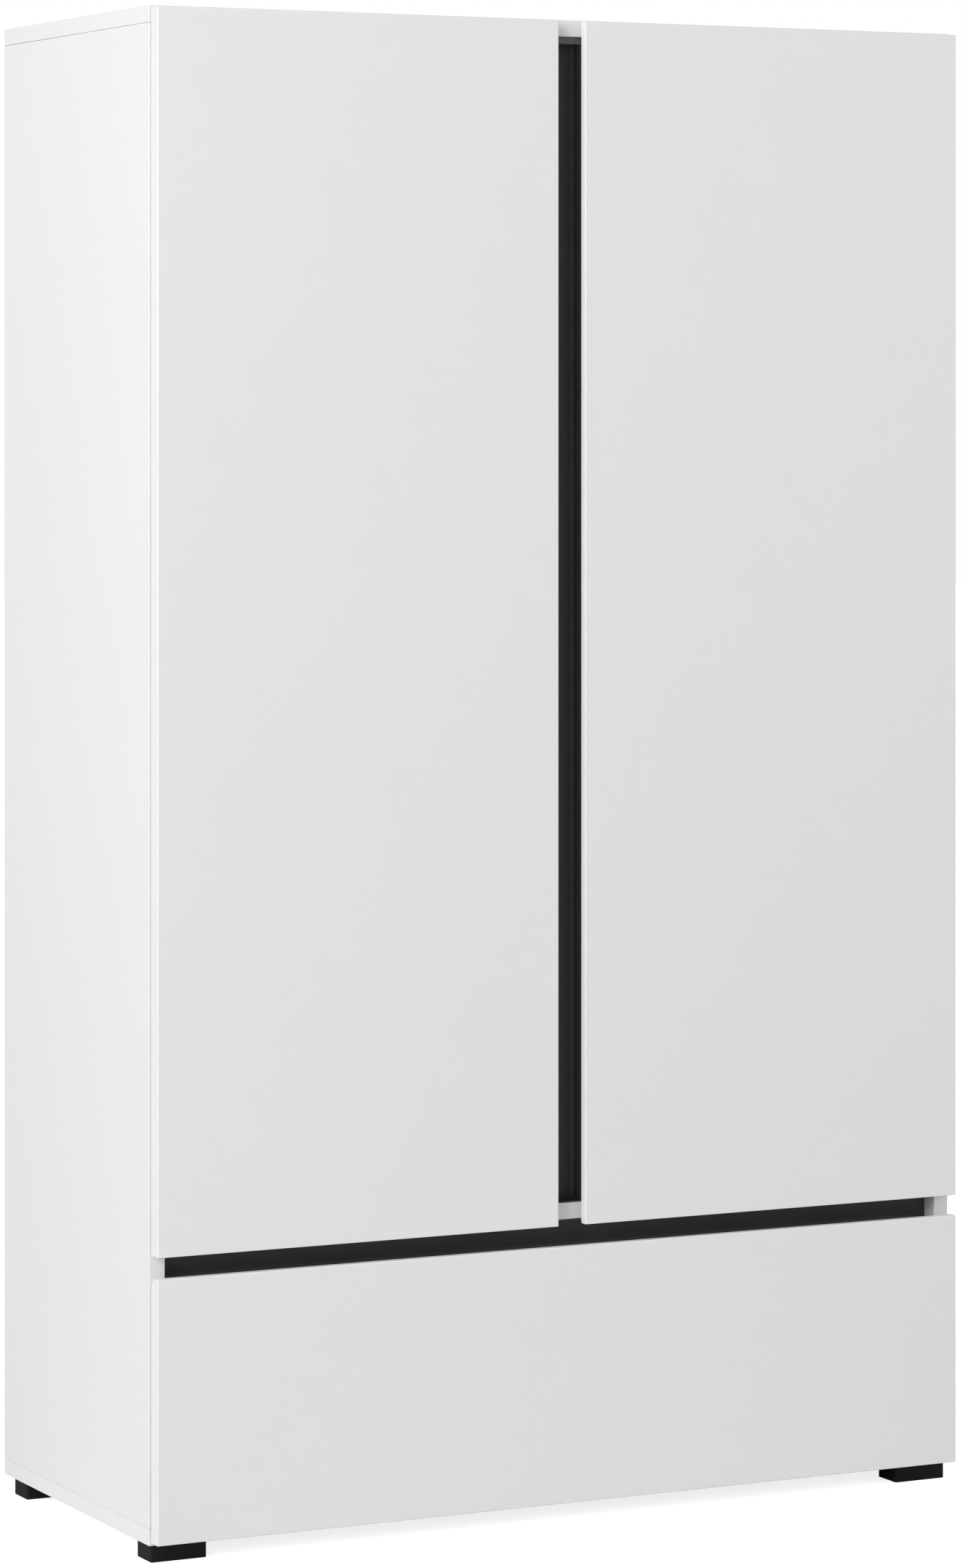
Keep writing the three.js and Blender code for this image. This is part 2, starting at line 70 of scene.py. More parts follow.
ARM_SCREWS = {"in": 12 * MM, "behind_front": (20 * MM, 49 * MM)}
CHANNEL = {"wall": 1.5 * MM, "radius": 7.5 * MM, "steps": 8}
RUNNER = {"wall": 1.4 * MM, "radius": 2.2 * MM, "steps": 4}
RUNNER_SCREWS = {"cabinet": (35, 163, 291, 419), "drawer": (60, 250, 400)}  # mm from the front end
BALLS = {"radius": 0.72 * MM, "out": 0.8 * MM, "first": 271, "step": 13, "count": 10}
CAGE = {"half_width": 1.6 * MM, "half_thickness": 0.3 * MM, "from": 260 * MM, "to": 400 * MM}
RAIL = {"radius": 7.45 * MM, "wall": 1.5 * MM, "steps": 12}
RAIL_SOCKET = {"radius": 11.8 * MM, "hole": 7.85 * MM, "wall": 4 * MM, "plate": 2 * MM, "rise": 13 * MM}
BRACKET_WALL = 2 * MM
HEADS = {  # radius and height of each kind of screw's head
    "confirmat": (4.5 * MM, 0.8 * MM), "ear": (3.3 * MM, 1.5 * MM), "wing": (3.6 * MM, 1.7 * MM),
    "adjuster": (2.9 * MM, 1.1 * MM), "socket": (3.4 * MM, 1.6 * MM), "bracket": (3.8 * MM, 1.8 * MM),
    "wall": (5 * MM, 2.4 * MM), "runner": (3.6 * MM, 0.7 * MM), "drawer": (3.5 * MM, 0.6 * MM),
}
NAILS = {"first": 60, "step": 100, "count": 6}  # mm from the wardrobe's middle
UNDERSIDE_SCREWS = (-150 * MM, 0, 150 * MM)  # their depths
CAM_ROW = 60 * MM  # from a board's front or rear edge
DRAWER_CAMS = {"behind_front": 30 * MM, "heights": (70 * MM, 190 * MM)}
DRAWER_SCREWS = {"from_rear": 8 * MM, "heights": (40, 120, 205)}  # heights in mm
BUFFERS = {"beside_middle": 46 * MM, "from_corner": 45 * MM}  # the doors' and the drawer front's
FIRM_EDGE = math.radians(40)  # edges turned more than this count as sharp
SMOOTH_UNDER = math.radians(35)


# ---- Working by hand: selection, edit mode, modifiers ----
def alone(obj):
    bpy.ops.object.select_all(action="DESELECT")
    obj.select_set(True)
    bpy.context.view_layer.objects.active = obj


def named(name):
    obj = bpy.context.object
    obj.name = obj.data.name = name
    return obj


def settle(obj):
    """Puts an object's place, turn and size into its mesh."""
    alone(obj)
    bpy.ops.object.transform_apply(location=True, rotation=True, scale=True)
    return obj


@contextmanager
def editing(obj, kind="FACE"):
    alone(obj)
    bpy.ops.object.mode_set(mode="EDIT")
    bpy.ops.mesh.select_mode(type=kind)
    bpy.ops.mesh.select_all(action="DESELECT")
    yield
    bpy.ops.object.mode_set(mode="OBJECT")


def choose(obj, kind, wanted):
    """In edit mode, selects only the faces, edges or verts that are wanted."""
    bpy.ops.mesh.select_all(action="DESELECT")
    mesh = bmesh.from_edit_mesh(obj.data)
    mesh.normal_update()
    for item in getattr(mesh, kind):
        if wanted(item):
            item.select_set(True)
    mesh.select_flush_mode()
    bmesh.update_edit_mesh(obj.data)


def middle(item):
    corners = [vert.co for vert in item.verts]
    return sum(corners, Vector()) / len(corners)


def is_sharp(edge):
    return len(edge.link_faces) == 2 and edge.calc_face_angle() > FIRM_EDGE


def runs_along(edge, axis):
    along = edge.verts[0].co - edge.verts[1].co
    return abs(along[axis]) > 0.9 * along.length


def looks(direction):
    return lambda face: face.normal.dot(direction) > 0.9


def modify(obj, kind, **settings):
    alone(obj)
    bpy.ops.object.modifier_add(type=kind)
    modifier = obj.modifiers[-1]
    for key, value in settings.items():
        setattr(modifier, key, value)
    bpy.ops.object.modifier_apply(modifier=modifier.name)
    return obj


def block(name, low, high):
    low, high = Vector(low), Vector(high)
    bpy.ops.object.select_all(action="DESELECT")
    bpy.ops.mesh.primitive_cube_add(size=1, location=(low + high) / 2)
    obj = named(name)
    obj.scale = high - low
    return settle(obj)


def disc(name, radius, height, sides=32):
    """A round bar that stands on the origin, along +Z."""
    bpy.ops.object.select_all(action="DESELECT")
    bpy.ops.mesh.primitive_cylinder_add(
        vertices=sides, radius=radius, depth=height, location=(0, 0, height / 2)
    )
    return settle(named(name))


def turned_to(direction, point=(0, 0, 0), spin=0.0):
    """The place of a thing modelled on the origin along +Z, now at a point and along a direction."""
    turn = Vector(direction).to_track_quat("Z", "Y").to_matrix().to_4x4()
    return Matrix.Translation(point) @ turn @ Matrix.Rotation(spin, 4, "Z")


def copied(pattern, name, place):
    alone(pattern)
    bpy.ops.object.duplicate()
    obj = named(name)
    obj.matrix_world = place
    settle(obj)
    if place.to_3x3().determinant() < 0:
        recalculate(obj)
    return obj


def moved(obj, place):
    obj.matrix_world = place @ obj.matrix_world
    return settle(obj)


def recalculate(obj):
    with editing(obj):
        bpy.ops.mesh.select_all(action="SELECT")
        bpy.ops.mesh.normals_make_consistent(inside=False)


def joined(name, parts):
    bpy.ops.object.select_all(action="DESELECT")
    for part in parts:
        part.select_set(True)
    bpy.context.view_layer.objects.active = parts[0]
    if len(parts) > 1:
        bpy.ops.object.join()
    return named(name)


def discard(*things):
    bpy.ops.object.select_all(action="DESELECT")
    for thing in things:
        thing.select_set(True)
    bpy.ops.object.delete()


def combined(obj, tool, operation="DIFFERENCE"):
    """Cuts a tool out of an object, or melts it into it, and discards the tool."""
    modify(obj, "BOOLEAN", object=tool, operation=operation, solver="EXACT", material_mode="TRANSFER")
    discard(tool)
    return obj


def rounded(obj, radius, steps, wanted=is_sharp):
    with editing(obj, "EDGE"):
        choose(obj, "edges", wanted)
        bpy.ops.mesh.bevel(offset=radius, segments=steps, profile=0.5, affect="EDGES")
    return obj


def dressed(obj, material):
    obj.data.materials.clear()
    obj.data.materials.append(material)
    return obj


def handed_over(obj, body, *nodes, slot=None):
    """Smooths a finished piece, lets it ride on its body and hides the frame's nodes that it stands for."""
    alone(obj)
    bpy.ops.object.shade_smooth_by_angle(angle=SMOOTH_UNDER)
    modify(obj, "WEIGHTED_NORMAL", keep_sharp=True)
    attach(obj, body)
    if nodes:
        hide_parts(*nodes)
    return obj


# ---- Finishes ----
class Wire:
    """A shader value: sums written on wires and numbers become Math nodes."""

    def __init__(self, socket):
        self.socket = socket

    def sum(self, operation, *terms):
        tree = self.socket.id_data
        node = tree.nodes.new("ShaderNodeMath")
        node.operation = operation
        for place, term in zip(node.inputs, terms):
            connect(tree, term, place)
        return Wire(node.outputs[0])

    def __add__(self, other):
        return self.sum("ADD", self, other)

    def __sub__(self, other):
        return self.sum("SUBTRACT", self, other)

    def __rsub__(self, other):
        return self.sum("SUBTRACT", other, self)

    def __mul__(self, other):
        return self.sum("MULTIPLY", self, other)

    def __truediv__(self, other):
        return self.sum("DIVIDE", self, other)

    __radd__, __rmul__ = __add__, __mul__

    def clamped(self):
        return self.sum("MINIMUM", self.sum("MAXIMUM", self, 0.0), 1.0)


def connect(tree, value, socket):
    if isinstance(value, Wire):
        tree.links.new(value.socket, socket)
    else:
        socket.default_value = value


def grey(value, warmth=0.0):
    return (value * (1 + warmth), value, value * (1 - warmth), 1)


class Finish:
    """A material in the making. Patterns lie on the piece's own coordinates, in metres."""

    def __init__(self, name, **constants):
        self.material = bpy.data.materials.new(name)
        self.material.use_nodes = True
        self.tree = self.material.node_tree
        self.shader = self.tree.nodes["Principled BSDF"]
        self.place = self.node("ShaderNodeTexCoord", output="Object")
        for socket, value in constants.items():
            self.shader.inputs[socket.replace("_", " ")].default_value = value

    def node(self, kind, settings=None, inputs=None, output=0):
        node = self.tree.nodes.new(kind)
        for key, value in (settings or {}).items():
            setattr(node, key, value)
        for key, value in (inputs or {}).items():
            connect(self.tree, value, node.inputs[key])
        return Wire(node.outputs[output])

    def noise(self, size, detail=2.0, stretch=(1, 1, 1), rough=0.5):
        """Noise whose blotches are about this size, longer along the axes with a larger stretch."""
        scale = tuple(1 / (size * s) for s in stretch)
        place = self.node("ShaderNodeMapping", inputs={"Vector": self.place, "Scale": scale})
        inputs = {"Vector": place, "Scale": 1.0, "Detail": detail, "Roughness": rough}
        return self.node("ShaderNodeTexNoise", inputs=inputs)

    def cells(self, size, stretch=(1, 1, 1), output="Distance"):
        scale = tuple(1 / (size * s) for s in stretch)
        place = self.node("ShaderNodeMapping", inputs={"Vector": self.place, "Scale": scale})
        return self.node("ShaderNodeTexVoronoi", inputs={"Vector": place, "Scale": 1.0}, output=output)

    def mix(self, share, first, second):
        return self.node("ShaderNodeMix", {"data_type": "RGBA"}, {0: share, 6: first, 7: second}, output=2)

    def relief(self, height, depth, strength=1.0):
        inputs = {"Height": height, "Distance": depth, "Strength": strength}
        return self.node("ShaderNodeBump", inputs=inputs)

    def paint(self, color=None, roughness=None, relief=None):
        for socket, value in (("Base Color", color), ("Roughness", roughness), ("Normal", relief)):
            if value is not None:
                connect(self.tree, value, self.shader.inputs[socket])
        return self.material


def melamine():
    """White board face: fine pearled film over a barely uneven core."""
    f = Finish("white_melamine", Specular_IOR_Level=0.4)
    pearl, cloud = f.noise(0.9 * MM, 3), f.noise(0.22, 1)
    tone = (pearl * 0.7 + cloud * 0.3 - 0.2).clamped()
    color = f.mix(tone, grey(0.800), grey(0.832))
    return f.paint(color, 0.47 + pearl * 0.12, f.relief(pearl, 0.05 * MM, 0.5))


def band():
    """Edge band: plastic strip with faint drawn lines, a little smoother than the faces."""
    f = Finish("white_edge_band", Specular_IOR_Level=0.45)
    drawn, cloud = f.noise(0.6 * MM, 2), f.noise(40 * MM, 1)
    color = f.mix(cloud, grey(0.822), grey(0.842))
    return f.paint(color, 0.36 + drawn * 0.1, f.relief(drawn, 0.02 * MM, 0.4))


def chipboard():
    """Sawn core: pale chips of many sizes pressed in darker glue."""
    f = Finish("bare_chipboard", Specular_IOR_Level=0.2)
    chips, dust = f.cells(2.6 * MM, (1.6, 1.6, 1)), f.noise(0.7 * MM, 4, rough=0.7)
    tint = f.node("ShaderNodeSeparateColor", inputs={"Color": f.cells(2.6 * MM, (1.6, 1.6, 1), "Color")})
    share = (tint * 0.65 + dust * 0.5 - 0.1).clamped()
    color = f.mix(share, (0.30, 0.185, 0.095, 1), (0.66, 0.49, 0.31, 1))
    return f.paint(color, 0.8 + dust * 0.15, f.relief(chips + dust, 0.25 * MM, 0.7))


def hardboard():
    """Bare hardboard: brown felted fibres with lighter and darker flecks."""
    f = Finish("bare_hardboard", Specular_IOR_Level=0.25)
    fibre, cloud = f.noise(0.8 * MM, 4, (1, 1, 3), 0.65), f.noise(60 * MM, 3)
    fleck = f.cells(5 * MM, (1, 1, 1.5)) * 1.4
    share = (fibre * 0.8 + cloud * 0.4 - fleck * 0.15 - 0.05).clamped()
    color = f.mix(share, (0.300, 0.185, 0.098, 1), (0.540, 0.370, 0.225, 1))
    return f.paint(color, 0.62 + fibre * 0.18, f.relief(fibre, 0.08 * MM, 0.6))


def lacquer():
    """White lacquer rolled on hardboard, with a slight orange peel."""
    f = Finish("white_lacquer", Specular_IOR_Level=0.4)
    peel, cloud = f.noise(2.2 * MM, 2), f.noise(0.12, 2)
    color = f.mix(cloud, grey(0.800, 0.006), grey(0.835, 0.004))
    return f.paint(color, 0.5 + peel * 0.15, f.relief(peel, 0.1 * MM, 0.35))


def foil():
    """White foil that wraps the drawer box, printed with a faint linen weave."""
    f = Finish("white_linen_foil", Specular_IOR_Level=0.35)
    warp, weft = f.noise(0.5 * MM, 1, (1, 1, 12)), f.noise(0.5 * MM, 1, (12, 12, 1))
    weave = (warp + weft) * 0.5
    color = f.mix(weave, grey(0.765, 0.006), grey(0.815, 0.004))
    return f.paint(color, 0.5 + weave * 0.15, f.relief(weave, 0.05 * MM, 0.5))


def powder_coat():
    """Matt black powder coat: close orange peel with fine grit in it."""
    f = Finish("black_powder_coat", Specular_IOR_Level=0.5)
    peel, grit = f.noise(1.3 * MM, 2), f.noise(0.35 * MM, 2)
    tone = (peel * 0.5 + grit * 0.5).clamped()
    color = f.mix(tone, grey(0.048), grey(0.064))
    return f.paint(color, 0.4 + grit * 0.16, f.relief(peel * 0.6 + grit * 0.4, 0.06 * MM, 0.6))


def grained_plastic(name, dark, light, roughness, shine):
    """Moulded plastic with a spark-eroded grain."""
    f = Finish(name, Specular_IOR_Level=shine)
    grain, cloud = f.noise(0.5 * MM, 3, rough=0.6), f.noise(25 * MM, 2)
    tone = (grain * 0.6 + cloud * 0.4).clamped()
    color = f.mix(tone, dark, light)
    return f.paint(color, roughness + grain * 0.14, f.relief(grain, 0.06 * MM, 0.7))


def plated_steel(name, dark, light, roughness, size=14 * MM):
    """Plated steel: cloudy plating over fine rolling marks."""
    f = Finish(name, Metallic=1.0)
    cloud, marks = f.noise(size, 3), f.noise(0.45 * MM, 2, (1, 1, 9))
    color = f.mix((cloud * 0.7 + marks * 0.3).clamped(), dark, light)
    return f.paint(color, roughness + cloud * 0.1 + marks * 0.08, f.relief(marks, 0.01 * MM, 0.4))


def anodised():
    """Satin anodised aluminium, drawn along the rail."""
    f = Finish("satin_anodised_aluminium", Metallic=1.0)
    drawn, cloud = f.noise(0.3 * MM, 2, (60, 1, 1)), f.noise(50 * MM, 2)
    color = f.mix((drawn * 0.7 + cloud * 0.3).clamped(), grey(0.60), grey(0.70))
    return f.paint(color, 0.26 + drawn * 0.14, f.relief(drawn, 0.01 * MM, 0.5))


def silicone():
    """Clear soft buffer, slightly milky."""
    f = Finish("clear_silicone", Transmission_Weight=0.6, IOR=1.41, Roughness=0.25)
    milk = f.noise(1.5 * MM, 2)
    return f.paint(f.mix(milk, grey(0.82), grey(0.9)), 0.22 + milk * 0.12)


MELAMINE, BAND_WHITE, CHIPS = melamine(), band(), chipboard()
BROWN_BACK, WHITE_LACQUER, LINEN_FOIL = hardboard(), lacquer(), foil()
BLACK_COAT = powder_coat()
GREY_PLASTIC = grained_plastic("dark_grey_plastic", grey(0.125), grey(0.160), 0.5, 0.45)
BLACK_PLASTIC = grained_plastic("black_foot_plastic", grey(0.0055), grey(0.009), 0.55, 0.22)
WHITE_PLASTIC = grained_plastic("white_cap_plastic", grey(0.76), grey(0.81), 0.38, 0.45)
NICKEL = plated_steel("nickel_plate", grey(0.52, 0.02), grey(0.68, 0.015), 0.22)
ZINC = plated_steel("zinc_plate", grey(0.50, -0.01), grey(0.68, -0.015), 0.3, 9 * MM)
BRIGHT_SCREW = plated_steel("bright_screw_zinc", grey(0.60), grey(0.76), 0.2, 5 * MM)
DARK_STEEL = plated_steel("black_oxide_steel", grey(0.07), grey(0.11), 0.35)
ALUMINIUM = anodised()
SILICONE = silicone()


# ---- Boards ----
def board(name, low, high, banded, edge_round, shape=None, faces=None):
    """A board with bands on some of its narrow sides; the other narrow sides stay bare.

    shape is called on the plain block and may bevel it. The faces' finish is in the first slot, the
    bands' in the second and the bare core's in the third.
    """
    obj = block(name, low, high)
    size = Vector(high) - Vector(low)
    thin = min(range(3), key=lambda axis: size[axis])
    if shape:
        shape(obj)
    for material in (faces or MELAMINE, BAND_WHITE, CHIPS):
        obj.data.materials.append(material)
    with editing(obj):
        choose(obj, "faces", lambda face: abs(face.normal[thin]) > 0.9)
        bpy.ops.mesh.inset(thickness=BAND, use_even_offset=True)
        choose(obj, "faces", lambda face: near_band(face, banded, low, high))
        paint_chosen(obj, 1)
        bare = lambda face: abs(face.normal[thin]) < 0.1 and not any(looks(side)(face) for side in banded)
        choose(obj, "faces", bare)
        paint_chosen(obj, 2)
    soft = lambda edge: is_sharp(edge) and any(face.material_index == 1 for face in edge.link_faces)
    with editing(obj, "EDGE"):
        choose(obj, "edges", soft)
        bpy.ops.mesh.bevel(offset=edge_round, segments=3, profile=0.5, affect="EDGES")
    return obj


def paint_chosen(obj, slot):
    obj.active_material_index = slot
    bpy.ops.object.material_slot_assign()


def near_band(face, banded, low, high):
    """True for the outer side of a band, the strips beside it, and slanted faces."""
    centre = middle(face)
    for side in banded:
        edge = Vector(high) if sum(side) > 0 else Vector(low)
        if abs((centre - edge).dot(side)) < BAND:
            return True
    return any(0.1 < abs(face.normal[axis]) < 0.9 for axis in range(3))


def drill(obj, holes, radius, depth, sides=24):
    """Bores round holes: each hole is the point on the face and the direction out of the board."""
    bit = dressed(disc("drill", radius, depth * 2, sides), CHIPS)
    bits = []
    for number, (point, out) in enumerate(holes):
        bits.append(copied(bit, f"drill_{number}", turned_to(out, Vector(point) - Vector(out) * depth)))
    discard(bit)
    return combined(obj, joined("drills", bits))


def groove(obj, low, high):
    return combined(obj, dressed(block("groove", low, high), CHIPS))


def carcass():
    sheet_low, sheet_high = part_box("back_sheet_left")
    groove_ys = (sheet_low.y - SHEET_PLAY, sheet_high.y + SHEET_PLAY)
    for side, sign in SIDES.items():
        node = f"side_panel_{side}"
        low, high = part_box(node)
        panel = board(f"{node}_board", low, high, [FORWARD], BOARD_ROUND)
        inner = high.x if sign < 0 else low.x
        xs = sorted((inner + sign * BACK_GROOVE, inner - sign * MM))
        groove(panel, (xs[0], groove_ys[0], low.z - MM), (xs[1], groove_ys[1], high.z + MM))
        if side == "left":
            drill(panel, pin_holes(inner, RIGHT), PIN_HOLE["radius"], PIN_HOLE["depth"], PIN_HOLE["sides"])
        handed_over(panel, "carcass", node, slot="white_board")
    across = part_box("side_panel_right")[0].x + BACK_GROOVE
    for node, inner_face, out in (("top_panel", 0, -1), ("bottom_panel", 1, 1)):
        low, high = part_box(node)
        panel = board(f"{node}_board", low, high, [FORWARD, LEFT, RIGHT], BOARD_ROUND)
        face = (low, high)[inner_face].z
        zs = sorted((face - out * BACK_GROOVE, face + out * MM))
        groove(panel, (-across, groove_ys[0], zs[0]), (across, groove_ys[1], zs[1]))
        handed_over(panel, "carcass", node, slot="white_board")
    for node in ("divider_shelf", "centre_partition"):
        low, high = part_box(node)
        panel = board(f"{node}_board", low, high, [FORWARD], BOARD_ROUND)
        if node == "centre_partition":
            drill(panel, pin_holes(low.x, LEFT), PIN_HOLE["radius"], PIN_HOLE["depth"], PIN_HOLE["sides"])
        handed_over(panel, "carcass", node, slot="white_board")


def pin_rows():
    """Depths of the two rows of shelf pins."""
    low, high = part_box("shelf_left_1")
    return low.y + PIN_HOLE["from_edge"], high.y - PIN_HOLE["from_edge"]


def pin_holes(x, out):
    """Five holes in each row at each shelf; the middle one carries the pin."""
    holes = []
    for row in SHELF_ROWS:
        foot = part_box(f"shelf_left_{row}")[0].z - PIN_HOLE["radius"]
        for y in pin_rows():
            for step in (-2, -1, 0, 1, 2):
                holes.append(((x, y, foot + step * PIN_HOLE["step"]), out))
    return holes


def shelves():
    for node in [f"shelf_left_{row}" for row in SHELF_ROWS] + ["hat_shelf"]:
        low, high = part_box(node)
        shelf = board(f"{node}_board", low, high, [FORWARD], BOARD_ROUND)
        handed_over(shelf, "carcass", node, slot="white_board")


def back():
    for side in SIDES:
        node = f"back_sheet_{side}"
        low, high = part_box(node)
        sheet = block(f"{node}_hardboard", low, high)
        for material in (WHITE_LACQUER, BROWN_BACK):
            sheet.data.materials.append(material)
        with editing(sheet):
            choose(sheet, "faces", lambda face: face.normal.y > -0.9)
            paint_chosen(sheet, 1)
        rounded(sheet, 0.2 * MM, 1)
        handed_over(sheet, "carcass", node, slot="back_sheet")


# ---- Doors and drawer front ----
def slanted(grip_edge):
    """Cuts the slanted edge that the fingers hook behind."""
    def shape(obj):
        with editing(obj, "EDGE"):
            choose(obj, "edges", grip_edge)
            bpy.ops.mesh.bevel(offset=GRIP_BEVEL, segments=1, affect="EDGES")
    return shape


def cup_centre(side, row):
    """The cup's middle, counted from the inner side of its flange: the outer side has a notch."""
    low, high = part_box(f"hinge_cup_{side}_{row}")
    x = high.x - CUP["flange"] if side == "left" else low.x + CUP["flange"]
    return x, (low.z + high.z) / 2


def doors():
    for side, sign in SIDES.items():
        node = f"door_{side}"
        low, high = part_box(node)
        free_edge = high.x if sign < 0 else low.x
        grip = lambda edge: (
            abs(middle(edge).x - free_edge) < MM
            and abs(middle(edge).y - high.y) < MM
            and abs(edge.verts[0].co.z - edge.verts[1].co.z) > 0.1
        )
        door = board(f"{node}_slab", low, high, [LEFT, RIGHT, UP, DOWN], FRONT_ROUND, slanted(grip))
        bores = []
        for row in HINGE_ROWS:
            x, z = cup_centre(side, row)
            bores.append(((x, high.y, z), BACK))
        drill(door, bores, CUP["bore"], CUP["bore_depth"], CUP["sides"])
        handed_over(door, f"{side}_door", node, slot="white_board")


def drawer_front():
    low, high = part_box("drawer_front")
    grip = lambda edge: (
        abs(middle(edge).z - high.z) < MM
        and abs(middle(edge).y - high.y) < MM
        and abs(edge.verts[0].co.x - edge.verts[1].co.x) > 0.1
    )
    front = board("drawer_front_slab", low, high, [LEFT, RIGHT, UP, DOWN], FRONT_ROUND, slanted(grip))
    sheet_low, sheet_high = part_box("drawer_bottom")
    low_corner = (sheet_low.x - MM, high.y - DRAWER_GROOVE, sheet_low.z - SHEET_PLAY)
    groove(front, low_corner, (sheet_high.x + MM, high.y + MM, sheet_high.z + SHEET_PLAY))
    handed_over(front, "drawer", "drawer_front", slot="white_board")


# ---- Drawer box ----
def drawer_box():
    sheet_low, sheet_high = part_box("drawer_bottom")
    for side, sign in SIDES.items():
        node = f"drawer_side_{side}"
        low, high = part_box(node)
        piece = board(f"{node}_board", low, high, [UP, BACK], BOARD_ROUND, faces=LINEN_FOIL)
        inner = high.x if sign < 0 else low.x
        xs = sorted((inner + sign * DRAWER_GROOVE, inner - sign * MM))
        zs = (sheet_low.z - SHEET_PLAY, sheet_high.z + SHEET_PLAY)
        groove(piece, (xs[0], low.y - MM, zs[0]), (xs[1], high.y + MM, zs[1]))
        handed_over(piece, "drawer", node, slot="drawer_box")
    for node in ("drawer_back", "drawer_bottom_rail"):
        low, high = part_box(node)
        piece = board(f"{node}_board", low, high, [UP], BOARD_ROUND, faces=LINEN_FOIL)
        handed_over(piece, "drawer", node, slot="drawer_box")
    sheet = block("drawer_bottom_hardboard", sheet_low, sheet_high)
    for material in (WHITE_LACQUER, BROWN_BACK):
        sheet.data.materials.append(material)
    with editing(sheet):
        choose(sheet, "faces", lambda face: face.normal.z < 0.9)
        paint_chosen(sheet, 1)
    rounded(sheet, 0.3 * MM, 1)
    handed_over(sheet, "drawer", "drawer_bottom", slot="back_sheet")


# ---- Folded and drawn profiles ----
def trough(name, low, high, opening, along, size, material):
    """A bent sheet profile, open to one side and at both ends. size has its wall, radius and steps."""
    obj = block(name, low, high)
    axis = max(range(3), key=lambda i: abs(along[i]))
    with editing(obj):
        choose(obj, "faces", lambda face: looks(opening)(face) or abs(face.normal[axis]) > 0.9)
        bpy.ops.mesh.delete(type="FACE")
    with editing(obj, "EDGE"):
        choose(obj, "edges", is_sharp)
        bpy.ops.mesh.bevel(offset=size["radius"], segments=size["steps"], profile=0.5, affect="EDGES")
    modify(obj, "SOLIDIFY", thickness=size["wall"], offset=-1, use_even_offset=True)
    rounded(obj, size["wall"] * 0.2, 2)
    return dressed(obj, material)


def channels():
    low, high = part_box("vertical_handle_channel")
    upright = trough("vertical_channel_profile", low, high, FORWARD, UP, CHANNEL, BLACK_COAT)
    handed_over(upright, "carcass", "vertical_handle_channel", slot="black_channel")
    divider_low, divider_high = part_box("divider_shelf")
    wall, gap = CHANNEL["wall"], 0.5 * MM
    foot_low = (low.x + gap, divider_low.y + MM, divider_high.z)
    foot_high = (high.x - gap, high.y - wall, divider_high.z + wall)
    foot = rounded(dressed(block("channel_foot_plate", foot_low, foot_high), BLACK_COAT), 0.3 * MM, 2)
    handed_over(foot, "carcass", slot="black_channel")
    low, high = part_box("horizontal_handle_channel")
    lying = trough("horizontal_channel_profile", low, high, FORWARD, RIGHT, CHANNEL, BLACK_COAT)
    handed_over(lying, "carcass", "horizontal_handle_channel", slot="black_channel")
    cap = dressed(block("channel_top_cap_moulding", *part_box("channel_top_cap")), GREY_PLASTIC)
    rounded(cap, 0.8 * MM, 3)
    handed_over(cap, "carcass", "channel_top_cap", slot="grey_cap")


def feet():
    for row in ("front", "rear"):
        for side in SIDES:
            node = f"foot_{row}_{side}"
            foot = dressed(block(f"{node}_moulding", *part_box(node)), BLACK_PLASTIC)
            rounded(foot, 3 * MM, 6, lambda edge: is_sharp(edge) and runs_along(edge, 2))
            rounded(foot, 0.7 * MM, 3)
            handed_over(foot, "carcass", node, slot="black_foot")


# ---- Small things that are modelled once and copied ----
def cross_recess(obj, reach, width, depth, top):
    """Cuts the cross that the driver turns a screw by."""
    bars = [
        block("recess_bar", (-a, -b, top - depth), (a, b, top + depth))
        for a, b in ((reach, width), (width, reach))
    ]
    return combined(obj, combined(bars[0], bars[1], "UNION"))


def screw_head(kind):
    """A pan head with a cross recess, standing on the origin."""
    radius, height = HEADS[kind]
    head = disc(f"{kind}_head", radius, height, 24)
    top_rim = lambda edge: is_sharp(edge) and middle(edge).z > height * 0.9
    rounded(head, min(height * 0.7, radius * 0.4), 3, top_rim)
    cross_recess(head, radius * 0.55, radius * 0.14, height * 0.55, height)
    return dressed(head, BRIGHT_SCREW)


def cover_cap(name, radius):
    """A press-in cap over a cam fitting: a low rim round a slightly sunk middle."""
    cap = disc(name, radius, 0.7 * MM, 32)
    with editing(cap):
        choose(cap, "faces", looks(UP))
        bpy.ops.mesh.inset(thickness=radius * 0.16)
        bpy.ops.mesh.inset(thickness=0.25 * MM, depth=-0.25 * MM)
    rounded(cap, 0.2 * MM, 2, lambda edge: is_sharp(edge) and middle(edge).z > 0.6 * MM)
    return dressed(cap, WHITE_PLASTIC)


def shelf_pin(name):
    """A plated pin with a collar; its shank goes into the hole behind the origin."""
    pin = disc(name, 2.4 * MM, 18 * MM, 20)
    with editing(pin):
        bpy.ops.mesh.select_all(action="SELECT")
        bpy.ops.transform.translate(value=(0, 0, -10 * MM))
    rounded(pin, 0.6 * MM, 3, lambda edge: is_sharp(edge) and middle(edge).z > 0)
    collar = rounded(disc("pin_collar", 3.4 * MM, 0.8 * MM, 20), 0.2 * MM, 2)
    return dressed(combined(pin, collar, "UNION"), NICKEL)


def buffer_dot(name):
    """A soft dome that the doors close against."""
    dot = disc(name, 4 * MM, 2.2 * MM, 24)
    rounded(dot, 1.7 * MM, 5, lambda edge: is_sharp(edge) and middle(edge).z > 2 * MM)
    return dressed(dot, SILICONE)


def set_out(name, pattern, places, body, slot=None):
    """Copies a pattern to every (point, direction) and joins the copies into one piece."""
    copies = []
    for number, (point, direction) in enumerate(places):
        copies.append(copied(pattern, f"{name}_{number}", turned_to(direction, point, number * 0.7)))
    discard(pattern)
    return handed_over(joined(name, copies), body, slot=slot)


